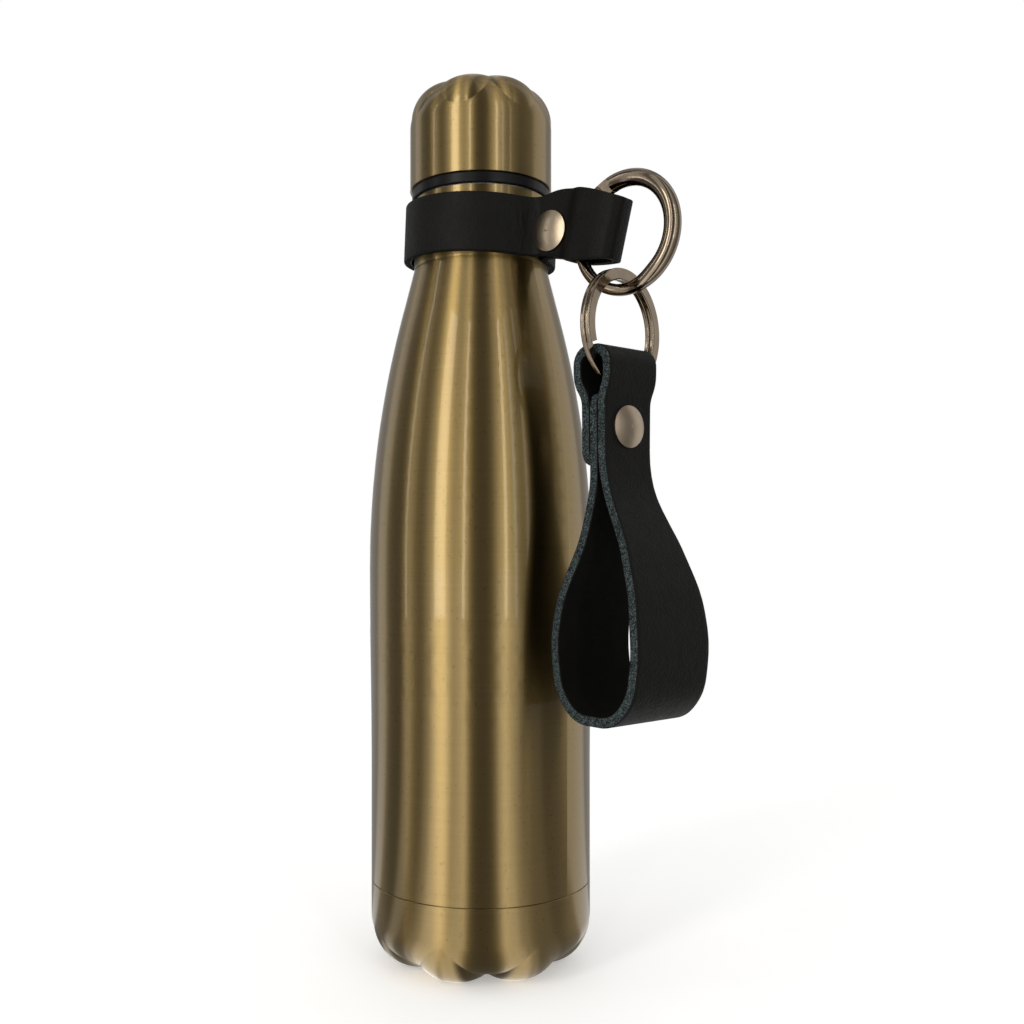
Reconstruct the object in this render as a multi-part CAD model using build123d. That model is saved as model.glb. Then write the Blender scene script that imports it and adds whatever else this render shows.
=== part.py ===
from build123d import *
import math
import os

os.makedirs("parts", exist_ok=True)

# Insulated cola-shaped bottle with a leather collar, a spring-gate ring, a split ring and a wrist loop.
# The origin is the bottle's axis on the surface that its feet stand on, +Z is up and +X points at the tab.

# Outer shell
LOWER_R = 33.6
BELLY_SWELL = 0.6
BELLY_R = LOWER_R + BELLY_SWELL
LOWER_TOP_Z = 62.0
BELLY_Z = 120.0
SHOULDER_ARC_R = 300.0
SHOULDER_ANGLE = 14.5
NECK_R = 20.5
OUTER_WALL = 0.6
SEAM_Z = 25.2
SEAM_GAP = 0.1
SEAM_BEVEL = 0.15
SPIGOT_Z = 16.8
SPIGOT_FIT = 0.05
JOGGLE_H = 1.2

# Inner flask
VACUUM_GAP = 3.0
INNER_WALL = 0.5
FLASK_BOTTOM_Z = 21.5
FLASK_CORNER_R = 8.0
NECK_BORE_R = 17.4
MOUTH_Z = 231.8
LIP_T = 0.7

# Thread of the mouth and of the stopper
THREAD_STARTS = 2
THREAD_LEAD = 8.0
THREAD_DEPTH = 0.9
THREAD_GAP = 0.3
THREAD_ROOT_W = 1.6
THREAD_CREST_W = 0.9
THREAD_EMBED = 0.15
THREAD_TURNS = 1.1
NECK_THREAD_Z = 217.0
STOPPER_THREAD_Z = 217.0

# Bottom plate and getter
PLATE_T = 0.6
PLATE_SKIRT_H = 3.0
PLATE_FIT = 0.05
NIPPLE_R = 3.0
NIPPLE_H = 1.2
GETTER_R = 5.0
GETTER_T = 1.4
GETTER_OFFSET = 14.0

# Lobed foot cup
LOBES = 7
FOOT_CORNER_R = 11.0
FOOT_VALLEY_H = 3.5
FOOT_CENTRE_R = 19.0
FOOT_PAD_R = 2.0
FOOT_LOBE_H = 14.0
FOOT_TURN = 46.7

# Cap
CAP_R = 21.8
CAP_WALL = 0.6
CAP_Z = 235.4
CAP_H = 31.7
CAP_CORNER_R = 12.7
CAP_VALLEY_H = 0.55
CAP_CENTRE_R = 8.0
CAP_PAD_R = 2.6
CAP_LOBE_H = 11.2
CAP_TURN = 25.3

# The lobes' sides stay this far inside the round wall that they run into
LOBE_INSET = 0.06

# Stopper under the cap
BAND_R = 21.2
BAND_GAP = 0.3
BAND_EDGE_R = 0.5
SLEEVE_FIT = 0.05
SLEEVE_H = 17.0
SLEEVE_WALL = 2.0
STOPPER_TOP_T = 1.5
STOPPER_FLOOR_Z = 213.0
STOPPER_WALL = 2.0
DISC_T = 1.5
DISC_SEAT = 0.8
PART_FIT = 0.05

# Mouth gasket
GASKET_INNER_R = 17.5
GASKET_OUTER_R = 19.9
GASKET_H = 1.2
GASKET_FIT = 0.05

# Leather collar, laid out along +X and then turned to its place
TAB_AZIMUTH = 0.0
LEATHER_T = 2.3
COLLAR_CLEAR = 0.6
COLLAR_CENTRE_X = -0.2
COLLAR_TILT = 3.2
COLLAR_LEAVE_ANGLE = 24.5
COLLAR_MID_Z = 219.3
COLLAR_W = 16.8
LAYER_GAP = 0.1
TAB_CORNER_R = 1.6
TAB_RIVET_X = 29.9
TAB_RIVET_Z = 217.2
TAB_FLAT_X = 36.2
TAB_BACK_END_X = 33.0
TAB_INNER_END_X = 26.5
TAB_END_X = 52.8
TAB_BULGE_W = 20.0
TAB_BULGE_SLOPE = 0.35
TAB_DROOP = 14.4
TAB_DROOP_X = 32.0
TAB_DROOP_Z = 217.0
TAB_LAP = 3.0
POCKET_GAP = 0.4
POCKET_BEND_R = 1.8
FOLD_BEND_R = 4.6

# Spring-gate ring
RING_X = 54.0
RING_Z = 213.0
RING_OUTER_R = 17.4
RING_WIRE_R = 2.4
RING_THIN_R = 1.7
RING_THIN_ANGLE = 232.0
RING_THIN_SPAN = 34.0
RING_TAPER_SPAN = 46.0
RING_STEP = 8.0
GATE_PIVOT_ANGLE = 108.0
GATE_TIP_ANGLE = 199.0
GATE_GAP = 0.15
FORK_ANGLE = 14.0
TONGUE_T = 1.9
TONGUE_GAP = 0.15
PIN_R = 0.7
PIN_FIT = 0.04
PIN_END_INSET = 0.35
GATE_LAP = 22.0
SPRING_W = 1.2
SPRING_T = 0.25
SPRING_GAP = 0.06
SPRING_SPAN = 80.0

# Split ring
HANG_X = 52.4
SPLIT_YAW = -1.0
SPLIT_INNER_R = 13.6
SPLIT_WIRE_W = 3.2
SPLIT_COIL_T = 1.5
SPLIT_COIL_GAP = 0.1
SPLIT_EDGE_R = 0.45
SPLIT_REST_GAP = 0.8
SPLIT_CROSS_ANGLE = 235.0
SPLIT_CROSS_SPAN = 70.0
SPLIT_CROSS_STEPS = 6

# Wrist loop
LOOP_YAW = -8.0
LOOP_T = 2.9
LOOP_TOP_W = 19.0
LOOP_WAIST_W = 18.0
LOOP_BOTTOM_W = 28.5
LOOP_TOP_Z = 181.2
LOOP_WAIST_Z = 143.5
LOOP_BEND_R = 36.0
LOOP_BOTTOM_Z = 78.3
LOOP_SHIFT = -1.4
LOOP_RIVET_Z = 159.0
LOOP_FLAP_Z = 148.5
LOOP_INNER_END_Z = 168.3
LOOP_LAYER_GAP = 0.1
LOOP_LEAN_X = -0.5
LOOP_CREST_X = 4.3
LOOP_DEPTH = 31.3
LOOP_EYE_X = -1.0
LOOP_EYE_W = 8.2
# Heights of the bends between the rivet and the eye, as shares of the strap's thickness
LOOP_SHOULDER_SHARE = 0.75
LOOP_EYE_RISE_SHARE = 1.5
# Corners of one side of the drop: share of its half depth, then share of the way down
LOOP_SIDE_SHARES = [(0.54, 0.27), (0.92, 0.48), (1.05, 0.70), (0.93, 0.89), (0.48, 1.0)]
# Share of the widening reached, then share of the way down
LOOP_WIDTH_SHARES = [(0.0, 0.0), (0.35, 0.25), (0.78, 0.44), (0.96, 0.62), (1.0, 0.8)]

# Rivets
RIVET_CAP_R = 5.8
RIVET_CAP_H = 1.7
RIVET_EDGE_H = 0.5
RIVET_POST_R = 1.6
RIVET_FOOT_R = 3.6
RIVET_FOOT_H = 1.0
RIVET_HOLE_FIT = 0.1

# A bend takes up to this share of the shorter run beside it
EASY_SHARE = 0.45

# Cutting tools run this far past what they cut
OVERRUN = 2.0


def polar(radius, angle):
    """Point of the X and Y plane at a radius and an angle in degrees."""
    return (radius * math.cos(math.radians(angle)), radius * math.sin(math.radians(angle)))


def turned(points_closed):
    """Solid of revolution about Z from the corners of a closed outline in radius and height."""
    return revolve(Plane.XZ * make_face(Polyline(*points_closed, close=True)), Axis.Z)


def tube(outer_r, inner_r, bottom, top):
    """Plain tube about Z."""
    return turned([(inner_r, bottom), (outer_r, bottom), (outer_r, top), (inner_r, top)])


def place_collar(solid):
    """Turn a solid of the collar's layout to its azimuth on the bottle."""
    return solid.rotate(Axis.Z, TAB_AZIMUTH)


def place_hanging(solid, yaw):
    """Carry a solid laid out round the Z axis to where the split ring hangs, turned by its own yaw."""
    hang_x, hang_y = polar(HANG_X, TAB_AZIMUTH)
    return solid.rotate(Axis.Z, TAB_AZIMUTH + yaw).translate((hang_x, hang_y, 0))


# Bottle walls

def wall_curve(inset, neck_r, start_z, end_z):
    """Edges of the bottle's wall, inset from its outer face, from a low height to the top of the neck."""
    lean = math.radians(SHOULDER_ANGLE)
    centre_r = BELLY_R - SHOULDER_ARC_R
    arc_r = SHOULDER_ARC_R - inset
    half = lean / 2
    belly = (BELLY_R - inset, BELLY_Z)
    arc_mid = (centre_r + arc_r * math.cos(half), BELLY_Z + arc_r * math.sin(half))
    arc_end = (centre_r + arc_r * math.cos(lean), BELLY_Z + arc_r * math.sin(lean))
    neck_start = (neck_r, arc_end[1] + (arc_end[0] - neck_r) / math.tan(lean))
    lower_top = (LOWER_R - inset, LOWER_TOP_Z)
    return [
        Line((LOWER_R - inset, start_z), lower_top),
        Spline(lower_top, belly, tangents=[(0, 1), (0, 1)]),
        ThreePointArc(belly, arc_mid, arc_end),
        Line(arc_end, neck_start),
        Line(neck_start, (neck_r, end_z)),
    ]


def make_outer_shell():
    neck_top = MOUTH_Z
    inner_r = LOWER_R - OUTER_WALL
    outside = wall_curve(0, NECK_R, SEAM_Z + SEAM_BEVEL, neck_top)
    inside = wall_curve(OUTER_WALL, NECK_R - OUTER_WALL, SEAM_Z, neck_top)
    edges = outside + inside
    edges.append(Line((NECK_R, neck_top), (NECK_R - OUTER_WALL, neck_top)))
    edges.append(Line((LOWER_R, SEAM_Z + SEAM_BEVEL), (LOWER_R - SEAM_BEVEL, SEAM_Z)))
    edges.append(Line((LOWER_R - SEAM_BEVEL, SEAM_Z), (inner_r, SEAM_Z)))
    shell = revolve(Plane.XZ * make_face(edges), Axis.Z)
    spigot_r = inner_r - SPIGOT_FIT
    spigot = tube(spigot_r, spigot_r - OUTER_WALL, SPIGOT_Z, SEAM_Z + JOGGLE_H)
    joggle = tube(inner_r, spigot_r - OUTER_WALL, SEAM_Z, SEAM_Z + JOGGLE_H)
    return shell + spigot + joggle


def helical_rib(root_r, crest_r, start_z, start_angle):
    """One thread rib: a trapezium swept up a helix, its root sunk a little into the wall."""
    outward = 1 if crest_r > root_r else -1
    base_r = root_r - outward * THREAD_EMBED
    path_r = (root_r + crest_r) / 2
    half_root = THREAD_ROOT_W / 2
    half_crest = THREAD_CREST_W / 2
    section = Plane.XZ * make_face(Polyline(
        (base_r, -half_root), (crest_r, -half_crest), (crest_r, half_crest), (base_r, half_root), close=True))
    path = Helix(pitch=THREAD_LEAD, height=THREAD_LEAD * THREAD_TURNS, radius=path_r)
    rib = sweep(section, path=path, is_frenet=True)
    return rib.rotate(Axis.Z, start_angle).translate((0, 0, start_z))


def thread_ribs(root_r, crest_r, start_z, turn):
    """All starts of the thread, evenly spaced round the axis."""
    return [
        helical_rib(root_r, crest_r, start_z, turn + start * 360 / THREAD_STARTS)
        for start in range(THREAD_STARTS)
    ]


def flask_face():
    inset = OUTER_WALL + VACUUM_GAP
    outer_r = LOWER_R - inset
    inner_r = outer_r - INNER_WALL
    neck_outer_r = NECK_BORE_R + INNER_WALL
    corner_z = FLASK_BOTTOM_Z + FLASK_CORNER_R
    bend_r = outer_r - FLASK_CORNER_R
    inner_corner_r = FLASK_CORNER_R - INNER_WALL
    lip_z = MOUTH_Z - LIP_T
    lip_r = NECK_R - OUTER_WALL
    half = math.sqrt(0.5)
    edges = wall_curve(inset, neck_outer_r, corner_z, lip_z)
    edges += wall_curve(inset + INNER_WALL, NECK_BORE_R, corner_z, MOUTH_Z)
    edges += [
        ThreePointArc((outer_r, corner_z),
                      (bend_r + FLASK_CORNER_R * half, corner_z - FLASK_CORNER_R * half),
                      (bend_r, FLASK_BOTTOM_Z)),
        Line((bend_r, FLASK_BOTTOM_Z), (0, FLASK_BOTTOM_Z)),
        Line((0, FLASK_BOTTOM_Z), (0, FLASK_BOTTOM_Z + INNER_WALL)),
        Line((0, FLASK_BOTTOM_Z + INNER_WALL), (bend_r, FLASK_BOTTOM_Z + INNER_WALL)),
        ThreePointArc((bend_r, FLASK_BOTTOM_Z + INNER_WALL),
                      (bend_r + inner_corner_r * half, corner_z - inner_corner_r * half),
                      (inner_r, corner_z)),
        Polyline((neck_outer_r, lip_z), (lip_r, lip_z), (lip_r, MOUTH_Z), (NECK_BORE_R, MOUTH_Z)),
    ]
    return Plane.XZ * make_face(edges)


def make_inner_flask():
    flask = revolve(flask_face(), Axis.Z)
    for rib in thread_ribs(NECK_BORE_R, NECK_BORE_R - THREAD_DEPTH, NECK_THREAD_Z, 0):
        flask = flask + rib
    return flask


def make_vacuum_plate():
    outer_r = LOWER_R - 2 * OUTER_WALL - SPIGOT_FIT - PLATE_FIT
    plate = tube(outer_r, 0, SPIGOT_Z, SPIGOT_Z + PLATE_T)
    skirt = tube(outer_r, outer_r - PLATE_T, SPIGOT_Z, SPIGOT_Z + PLATE_SKIRT_H)
    nipple = tube(NIPPLE_R, 0, SPIGOT_Z - NIPPLE_H, SPIGOT_Z)
    return plate + skirt + nipple


def make_getter():
    pill = tube(GETTER_R, 0, SPIGOT_Z + PLATE_T, SPIGOT_Z + PLATE_T + GETTER_T)
    return pill.translate((GETTER_OFFSET, 0, 0))


# Lobed forms: the foot cup and, upside down, the dome of the cap

def lobed_form(body_r, corner_r, valley_h, height, centre_r, pad_r, lobe_h, inset):
    """Round body with a ring of rounded lobes that stand out below its end, inset all round."""
    half = math.sqrt(0.5)
    floor = valley_h + inset
    corner = corner_r - inset
    bend_r = body_r - corner_r
    bend_h = valley_h + corner_r
    top = height + OVERRUN
    form = revolve(Plane.XZ * make_face([
        Line((0, floor), (bend_r, floor)),
        ThreePointArc((bend_r, floor),
                      (bend_r + corner * half, bend_h - corner * half),
                      (body_r - inset, bend_h)),
        Polyline((body_r - inset, bend_h), (body_r - inset, top), (0, top), (0, floor)),
    ]), Axis.Z)
    side_r = body_r - centre_r - LOBE_INSET
    swell = EllipticalCenterArc((pad_r, lobe_h), side_r - pad_r - inset, lobe_h - inset,
                                start_angle=270, arc_size=90)
    side = (side_r - inset, lobe_h)
    lobe = revolve(Plane.XZ * make_face([
        Line((0, inset), (pad_r, inset)),
        swell,
        Polyline(side, (side[0], top), (0, top), (0, inset)),
    ]), Axis.Z)
    for index in range(LOBES):
        x, y = polar(centre_r, (index + 0.5) * 360 / LOBES - 90)
        form = form + lobe.translate((x, y, 0))
    return form


def foot_form(inset):
    return lobed_form(LOWER_R, FOOT_CORNER_R, FOOT_VALLEY_H, SEAM_Z,
                      FOOT_CENTRE_R, FOOT_PAD_R, FOOT_LOBE_H, inset)


def make_base_cup():
    top = SEAM_Z - SEAM_GAP
    reach = LOWER_R + OVERRUN
    bevel = turned([
        (0, 0), (reach, 0), (reach, top - SEAM_BEVEL - OVERRUN), (LOWER_R - SEAM_BEVEL, top), (0, top),
    ])
    cup = (foot_form(0) & bevel) - foot_form(OUTER_WALL)
    return cup.rotate(Axis.Z, FOOT_TURN)


def cap_form(inset):
    return lobed_form(CAP_R, CAP_CORNER_R, CAP_VALLEY_H, CAP_H,
                      CAP_CENTRE_R, CAP_PAD_R, CAP_LOBE_H, inset)


def make_cap_shell():
    mouth = tube(2 * CAP_R, 0, 0, CAP_H)
    dome = (cap_form(0) & mouth) - cap_form(CAP_WALL)
    return dome.rotate(Axis.X, 180).translate((0, 0, CAP_Z + CAP_H)).rotate(Axis.Z, CAP_TURN)


# Stopper, its filling and the gasket

BAND_Z = MOUTH_Z + BAND_GAP
SLEEVE_R = CAP_R - CAP_WALL - SLEEVE_FIT
SLEEVE_INNER_R = SLEEVE_R - SLEEVE_WALL
STOPPER_R = NECK_BORE_R - THREAD_DEPTH - THREAD_GAP
STOPPER_INNER_R = STOPPER_R - STOPPER_WALL
CAVITY_TOP = CAP_Z + SLEEVE_H - STOPPER_TOP_T
FILL_STEP_Z = CAP_Z + STOPPER_TOP_T
GROOVE_TOP = MOUTH_Z + GASKET_H + GASKET_FIT


def make_cap_stopper():
    edge = BAND_EDGE_R
    half = math.sqrt(0.5)
    edges = [
        Polyline((0, CAP_Z + SLEEVE_H), (SLEEVE_R, CAP_Z + SLEEVE_H),
                 (SLEEVE_R, CAP_Z), (BAND_R - edge, CAP_Z)),
        ThreePointArc((BAND_R - edge, CAP_Z), (BAND_R - edge + edge * half, CAP_Z - edge + edge * half),
                      (BAND_R, CAP_Z - edge)),
        Line((BAND_R, CAP_Z - edge), (BAND_R, BAND_Z + edge)),
        ThreePointArc((BAND_R, BAND_Z + edge), (BAND_R - edge + edge * half, BAND_Z + edge - edge * half),
                      (BAND_R - edge, BAND_Z)),
        Polyline((BAND_R - edge, BAND_Z),
                 (GASKET_OUTER_R + GASKET_FIT, BAND_Z), (GASKET_OUTER_R + GASKET_FIT, GROOVE_TOP),
                 (GASKET_INNER_R - GASKET_FIT, GROOVE_TOP), (GASKET_INNER_R - GASKET_FIT, BAND_Z),
                 (STOPPER_R, BAND_Z), (STOPPER_R, STOPPER_FLOOR_Z),
                 (STOPPER_INNER_R + DISC_SEAT, STOPPER_FLOOR_Z),
                 (STOPPER_INNER_R + DISC_SEAT, STOPPER_FLOOR_Z + DISC_T),
                 (STOPPER_INNER_R, STOPPER_FLOOR_Z + DISC_T), (STOPPER_INNER_R, FILL_STEP_Z),
                 (SLEEVE_INNER_R, FILL_STEP_Z), (SLEEVE_INNER_R, CAVITY_TOP), (0, CAVITY_TOP),
                 (0, CAP_Z + SLEEVE_H)),
    ]
    stopper = revolve(Plane.XZ * make_face(edges), Axis.Z)
    turn = 360 / THREAD_STARTS / 2
    for rib in thread_ribs(STOPPER_R, STOPPER_R + THREAD_DEPTH, STOPPER_THREAD_Z, turn):
        stopper = stopper + rib
    return stopper


def make_stopper_foam():
    fit = PART_FIT
    return turned([
        (0, STOPPER_FLOOR_Z + DISC_T), (STOPPER_INNER_R - fit, STOPPER_FLOOR_Z + DISC_T),
        (STOPPER_INNER_R - fit, FILL_STEP_Z + fit), (SLEEVE_INNER_R - fit, FILL_STEP_Z + fit),
        (SLEEVE_INNER_R - fit, CAVITY_TOP - fit), (0, CAVITY_TOP - fit),
    ])


def make_stopper_disc():
    return tube(STOPPER_INNER_R + DISC_SEAT - PART_FIT, 0, STOPPER_FLOOR_Z, STOPPER_FLOOR_Z + DISC_T)


def make_mouth_gasket():
    return tube(GASKET_OUTER_R, GASKET_INNER_R, MOUTH_Z, MOUTH_Z + GASKET_H)


# Leather straps drawn by their centre lines

def offset_corners(points, shift):
    """Corners of a line parallel to a bent line, on its left for a positive shift."""
    result = []
    last = len(points) - 1
    for index, (x, y) in enumerate(points):
        before = points[max(index - 1, 0)]
        after = points[min(index + 1, last)]
        if index == 0:
            before = (2 * x - after[0], 2 * y - after[1])
        if index == last:
            after = (2 * x - before[0], 2 * y - before[1])
        first = math.atan2(y - before[1], x - before[0])
        second = math.atan2(after[1] - y, after[0] - x)
        turn = (second - first + math.pi) % (2 * math.pi) - math.pi
        normal = first + turn / 2 + math.pi / 2
        length = shift / math.cos(turn / 2)
        result.append((x + length * math.cos(normal), y + length * math.sin(normal)))
    return result


def corner_turns(points):
    """Signed turn in radians at each inner corner of a bent line, to the left when positive."""
    turns = []
    for before, here, after in zip(points, points[1:], points[2:]):
        first = math.atan2(here[1] - before[1], here[0] - before[0])
        second = math.atan2(after[1] - here[1], after[0] - here[0])
        turns.append((second - first + math.pi) % (2 * math.pi) - math.pi)
    return turns


def easy_radii(points, share):
    """Largest bend radii that leave every run of a bent line a straight rest."""
    radii = []
    for turn, before, here, after in zip(corner_turns(points), points, points[1:], points[2:]):
        run = min(math.dist(before, here), math.dist(here, after))
        radii.append(share * run / math.tan(abs(turn) / 2))
    return radii


def strap_face(points, radii, thickness):
    """Flat face of even thickness along a bent centre line with rounded corners."""
    half = thickness / 2
    turns = corner_turns(points)
    left_radii = [radius - math.copysign(half, turn) for radius, turn in zip(radii, turns)]
    right_radii = [radius + math.copysign(half, turn) for radius, turn in zip(radii, turns)]
    left = offset_corners(points, half)
    right = offset_corners(points, -half)
    return make_face([
        FilletPolyline(*left, radius=left_radii),
        FilletPolyline(*right, radius=right_radii),
        Line(left[0], right[0]),
        Line(left[-1], right[-1]),
    ])


# Collar strap

COLLAR_INNER_R = NECK_R + COLLAR_CLEAR
COLLAR_MID_R = COLLAR_INNER_R + LEATHER_T / 2
LAYER_Y = LEATHER_T + LAYER_GAP
POCKET_Y = RING_WIRE_R + POCKET_GAP + LEATHER_T / 2
TAB_FACE_Y = LAYER_Y + LEATHER_T / 2


def collar_departure():
    """Point where the strap leaves the neck, and the corner where it meets its flat layer."""
    x, y = polar(COLLAR_MID_R, COLLAR_LEAVE_ANGLE)
    x = x + COLLAR_CENTRE_X
    lean = math.radians(COLLAR_LEAVE_ANGLE)
    return (x, y), (x + (y - LAYER_Y) * math.tan(lean), LAYER_Y)


def collar_band_face():
    angle = COLLAR_LEAVE_ANGLE
    span = 360 - 2 * angle
    start_in, start_out = polar(COLLAR_INNER_R, angle), polar(COLLAR_INNER_R + LEATHER_T, angle)
    end_in, end_out = polar(COLLAR_INNER_R, -angle), polar(COLLAR_INNER_R + LEATHER_T, -angle)
    face = make_face([
        CenterArc((0, 0), COLLAR_INNER_R, angle, span),
        CenterArc((0, 0), COLLAR_INNER_R + LEATHER_T, angle, span),
        Line(start_in, start_out),
        Line(end_in, end_out),
    ])
    return face.translate((COLLAR_CENTRE_X, 0, 0))


def collar_layers():
    """Flat faces of the layers between the neck and the fold: front, turned-in end and back."""
    (leave_x, leave_y), (corner_x, corner_y) = collar_departure()
    reach = TAB_DROOP_X + TAB_LAP
    front = strap_face([(leave_x, -leave_y), (corner_x, -corner_y), (reach, -LAYER_Y)],
                       [TAB_CORNER_R], LEATHER_T)
    back = strap_face([(leave_x, leave_y), (corner_x, corner_y), (TAB_BACK_END_X, LAYER_Y)],
                      [TAB_CORNER_R], LEATHER_T)
    inner = make_face(Polyline(
        (TAB_INNER_END_X, -LEATHER_T / 2), (reach, -LEATHER_T / 2),
        (reach, LEATHER_T / 2), (TAB_INNER_END_X, LEATHER_T / 2), close=True))
    return front, inner, back


def fold_face():
    """Flat face of the drooping end: out past the ring's wire, round the fold and back."""
    start = TAB_DROOP_X - TAB_LAP
    rise = POCKET_Y - LAYER_Y
    fold_x = TAB_END_X - LEATHER_T / 2
    fold_y = POCKET_Y - LEATHER_T / 3
    belly_x = fold_x - 2 * LEATHER_T
    points = [
        (start, -LAYER_Y),
        (TAB_FLAT_X, -LAYER_Y),
        (TAB_FLAT_X + rise, -POCKET_Y),
        (belly_x, -POCKET_Y),
        (fold_x, -fold_y),
        (fold_x, fold_y),
        (belly_x, POCKET_Y),
        (TAB_FLAT_X + rise, POCKET_Y),
        (TAB_FLAT_X + rise - POCKET_Y, 0),
        (start, 0),
    ]
    radii = [min(radius, FOLD_BEND_R) for radius in easy_radii(points, EASY_SHARE)]
    radii[:2] = [min(radius, POCKET_BEND_R) for radius in radii[:2]]
    return strap_face(points, radii, LEATHER_T)


def collar_outline(start_x, end_x):
    """Side outline of the strap: its band width, swelling where it passes the ring's wire."""
    half = COLLAR_W / 2
    bulge = TAB_BULGE_W / 2
    peak_x = (TAB_DROOP_X + TAB_END_X) / 2
    top = Spline((TAB_INNER_END_X, COLLAR_MID_Z + half), (peak_x, COLLAR_MID_Z + bulge),
                 (TAB_END_X, COLLAR_MID_Z + half), tangents=[(1, 0), (1, -TAB_BULGE_SLOPE)])
    bottom = Spline((TAB_INNER_END_X, COLLAR_MID_Z - half), (peak_x, COLLAR_MID_Z - bulge),
                    (TAB_END_X, COLLAR_MID_Z - half), tangents=[(1, 0), (1, TAB_BULGE_SLOPE)])
    swell = make_face([
        top, bottom,
        Line((TAB_INNER_END_X, COLLAR_MID_Z + half), (TAB_INNER_END_X, COLLAR_MID_Z - half)),
        Line((TAB_END_X, COLLAR_MID_Z + half), (TAB_END_X, COLLAR_MID_Z - half)),
    ])
    reach = 2 * COLLAR_MID_R
    band = make_face(Polyline(
        (-reach, COLLAR_MID_Z - half), (TAB_INNER_END_X, COLLAR_MID_Z - half),
        (TAB_INNER_END_X, COLLAR_MID_Z + half), (-reach, COLLAR_MID_Z + half), close=True))
    block = extrude(Plane.XZ * (band + swell), amount=reach, both=True)
    window = Box(end_x - start_x, 4 * reach, 4 * reach).translate(((start_x + end_x) / 2, 0, COLLAR_MID_Z))
    return block & window


def lift(face):
    """Stand a plan face up through the whole width of the strap."""
    return extrude(face, amount=2 * TAB_BULGE_W).translate((0, 0, COLLAR_MID_Z - TAB_BULGE_W))


def rivet_bore():
    """Hole for the rivet's post, across the tab."""
    hole = Cylinder(RIVET_POST_R + RIVET_HOLE_FIT, 4 * TAB_FACE_Y).rotate(Axis.X, 90)
    return hole.translate((TAB_RIVET_X, 0, TAB_RIVET_Z))


DROOP_AXIS = Axis((TAB_DROOP_X, 0, TAB_DROOP_Z), (0, 1, 0))


def tilt(solid):
    """Slope the collar about the droop's axis, with its far side up."""
    return solid.rotate(DROOP_AXIS, COLLAR_TILT)


def past_mitre():
    """Block past the plane where the sloping layers meet the drooping end."""
    reach = 4 * COLLAR_MID_R
    block = Box(reach, reach, reach).translate((TAB_DROOP_X + reach / 2, 0, TAB_DROOP_Z))
    return block.rotate(DROOP_AXIS, (COLLAR_TILT + TAB_DROOP) / 2)


def make_collar_strap():
    front, inner, back = collar_layers()
    outline = collar_outline(-2 * COLLAR_MID_R, TAB_DROOP_X + TAB_LAP)
    mitre = past_mitre()
    neck_part = (lift(collar_band_face()) + lift(front) + lift(inner)) & outline
    neck_part = tilt(neck_part - rivet_bore()) - mitre
    back_part = tilt((lift(back) & outline) - rivet_bore())
    end_part = lift(fold_face()) & collar_outline(TAB_DROOP_X - TAB_LAP, TAB_END_X)
    end_part = end_part.rotate(DROOP_AXIS, TAB_DROOP) & mitre
    return place_collar(neck_part + back_part + end_part)


# Rivets, laid out with the cap facing +Z and the leather between zero and minus the stack

def rivet_cap_form():
    """Domed cap seated on the leather, with the socket that takes the post."""
    rise = RIVET_CAP_H - RIVET_EDGE_H
    dome_r = (RIVET_CAP_R ** 2 + rise ** 2) / (2 * rise)
    half = math.asin(RIVET_CAP_R / dome_r) / 2
    middle = (dome_r * math.sin(half), RIVET_CAP_H - dome_r + dome_r * math.cos(half))
    return revolve(Plane.XZ * make_face([
        Line((RIVET_POST_R, 0), (RIVET_CAP_R, 0)),
        Line((RIVET_CAP_R, 0), (RIVET_CAP_R, RIVET_EDGE_H)),
        ThreePointArc((RIVET_CAP_R, RIVET_EDGE_H), middle, (0, RIVET_CAP_H)),
        Line((0, RIVET_CAP_H), (0, RIVET_EDGE_H)),
        Line((0, RIVET_EDGE_H), (RIVET_POST_R, RIVET_EDGE_H)),
        Line((RIVET_POST_R, RIVET_EDGE_H), (RIVET_POST_R, 0)),
    ]), Axis.Z)


def rivet_post_form(stack):
    """Flat foot behind the leather and the post that runs through it into the cap."""
    post_top = RIVET_EDGE_H
    return turned([
        (0, -stack - RIVET_FOOT_H), (RIVET_FOOT_R, -stack - RIVET_FOOT_H), (RIVET_FOOT_R, -stack),
        (RIVET_POST_R, -stack), (RIVET_POST_R, post_top), (0, post_top),
    ])


def place_tab_rivet(solid):
    """Front of the tab: the rivet's axis lies along Y and its cap faces the front layer's side."""
    return place_collar(tilt(solid.rotate(Axis.X, 90).translate((TAB_RIVET_X, -TAB_FACE_Y, TAB_RIVET_Z))))


# Spring-gate ring, in its own plane X and Z

TAPER_START_ANGLE = RING_THIN_ANGLE - RING_THIN_SPAN - RING_TAPER_SPAN
TAPER_END_ANGLE = RING_THIN_ANGLE + RING_THIN_SPAN + RING_TAPER_SPAN


def ring_wire_r(angle):
    """Radius of the ring's wire, which thins towards the side that hangs in the fold."""
    away = abs((angle - RING_THIN_ANGLE + 180) % 360 - 180)
    share = min(max((away - RING_THIN_SPAN) / RING_TAPER_SPAN, 0), 1)
    eased = share * share * (3 - 2 * share)
    return RING_THIN_R + (RING_WIRE_R - RING_THIN_R) * eased


def ring_point(angle):
    """Point of the wire's centre line at an angle in the ring's own plane."""
    x, z = polar(RING_OUTER_R - ring_wire_r(angle), angle)
    return (RING_X + x, RING_Z + z)


def wire_section(angle):
    """Round section of the wire at an angle, turned to its place on the ring."""
    wire_r = ring_wire_r(angle)
    section = Plane.XY * (Pos(RING_OUTER_R - wire_r, 0) * Circle(wire_r))
    return section.rotate(Axis.Y, -angle)


def even_arc(start, end):
    """Wire of full thickness along the ring from one angle to another."""
    return revolve(wire_section(end), Axis.Y, end - start).translate((RING_X, 0, RING_Z))


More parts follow.
